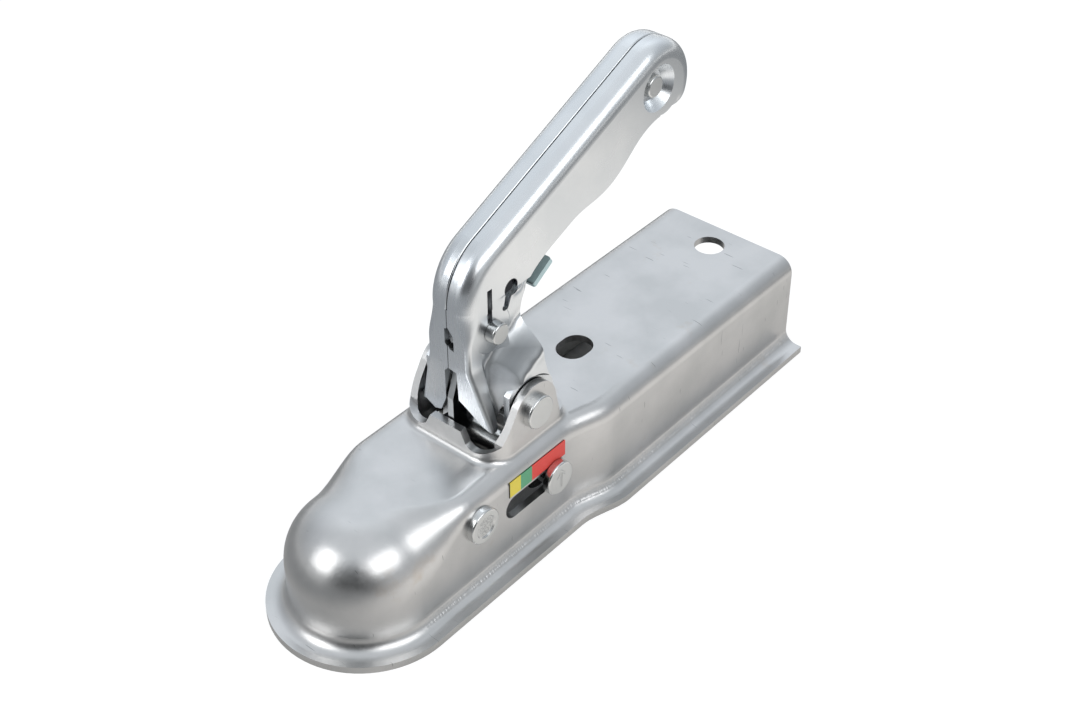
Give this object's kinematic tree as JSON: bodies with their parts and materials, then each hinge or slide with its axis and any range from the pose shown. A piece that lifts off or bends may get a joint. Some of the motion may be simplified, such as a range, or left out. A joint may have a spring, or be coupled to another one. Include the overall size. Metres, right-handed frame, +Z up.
{
  "type": "trailer coupling head",
  "caption": "Pressed-steel ball coupling head for a trailer drawbar, with a raised cranked handle, safety latch, wear indicator and swinging ball jaw",
  "frame": {"origin": "centre of the 50 mm tow ball when it is seated in the coupling", "axes": "+X points forward to the towing vehicle, +Y to the left side, +Z up"},
  "size_m": [0.2595, 0.083, 0.164],
  "materials": {
    "zinc_housing": "bright zinc plating, satin",
    "zinc_handle": "bright zinc plating, satin",
    "zinc_pins": "zinc plated, pale",
    "zinc_latch": "zinc plated, blue-green tint",
    "jaw_iron": "dull, greased",
    "spring_steel": "plain wire",
    "label_print": "printed strip in yellow, green and red"
  },
  "bodies": {
    "frame": {"housing": "zinc_housing", "indicator_label": "label_print", "handle_pivot_pin": "zinc_pins", "jaw_pivot_pin": "zinc_pins", "jaw_spring": "spring_steel", "jaw_washer_left": "zinc_pins", "jaw_washer_right": "zinc_pins"},
    "handle": {"handle_half_left": "zinc_handle", "handle_half_right": "zinc_handle", "grip_rivet": "zinc_pins", "grip_spacer": "zinc_pins", "latch_rivet": "zinc_pins", "latch_sleeve": "zinc_pins", "latch_spring": "spring_steel", "pivot_sleeve": "zinc_pins"},
    "latch": {"safety_latch": "zinc_latch"},
    "indicator": {"indicator_pin": "zinc_pins", "indicator_washer": "zinc_pins", "pin_sleeve": "zinc_pins", "pin_washer_left": "zinc_pins", "pin_washer_right": "zinc_pins"},
    "jaw": {"ball_jaw": "jaw_iron"}
  },
  "joints": [
    {"name": "handle_pivot", "type": "hinge", "parent": "frame", "child": "handle", "pos_m": [-0.068, 0, 0.0423], "axis": [0, -1, 0], "range_deg": [0, 36]},
    {"name": "latch_pivot", "type": "hinge", "parent": "handle", "child": "latch", "pos_m": [-0.0613, 0, 0.0756], "axis": [0, 1, 0], "range_deg": [0, 6], "stiffness_Nm_per_rad": 0.4, "springref_deg": -17.19},
    {"name": "indicator_slide", "type": "slide", "parent": "frame", "child": "indicator", "axis": [1, 0, 0], "range_m": [0, 0.0197]},
    {"name": "jaw_pivot", "type": "hinge", "parent": "frame", "child": "jaw", "pos_m": [-0.0314, 0, 0.0156], "axis": [0, -1, 0], "range_deg": [0, 14]}
  ],
  "couplings": [
    {"joint": "indicator_slide", "follows": "handle_pivot", "m_per_rad": 0.03135},
    {"joint": "jaw_pivot", "follows": "handle_pivot", "ratio": 0.3888}
  ]
}
